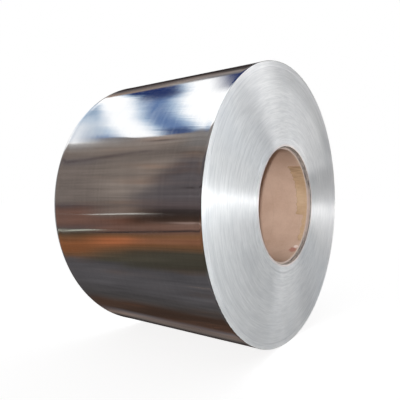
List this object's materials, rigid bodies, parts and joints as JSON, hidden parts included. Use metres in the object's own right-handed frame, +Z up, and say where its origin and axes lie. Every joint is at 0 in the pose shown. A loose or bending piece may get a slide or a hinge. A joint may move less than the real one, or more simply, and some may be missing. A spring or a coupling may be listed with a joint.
{
  "type": "aluminium foil coil",
  "caption": "Coil of bright aluminium foil on a paper core, lying on its round side. The turns show as fine rings on both flat ends, and the core's edges sit a little inside the bore.",
  "frame": {"origin": "on the floor, under the middle of the coil", "axes": "+X along the axis of the coil and its core, towards the end whose first turns stand out; +Z up"},
  "size_m": [0.7822, 1.24, 1.2398],
  "materials": {
    "foil": "bright rolled on the round side, satin on the slit ends",
    "core_paper": "smooth kraft board"
  },
  "bodies": {
    "root": {"foil_coil": "foil", "core_tube": "core_paper"}
  },
  "joints": []
}
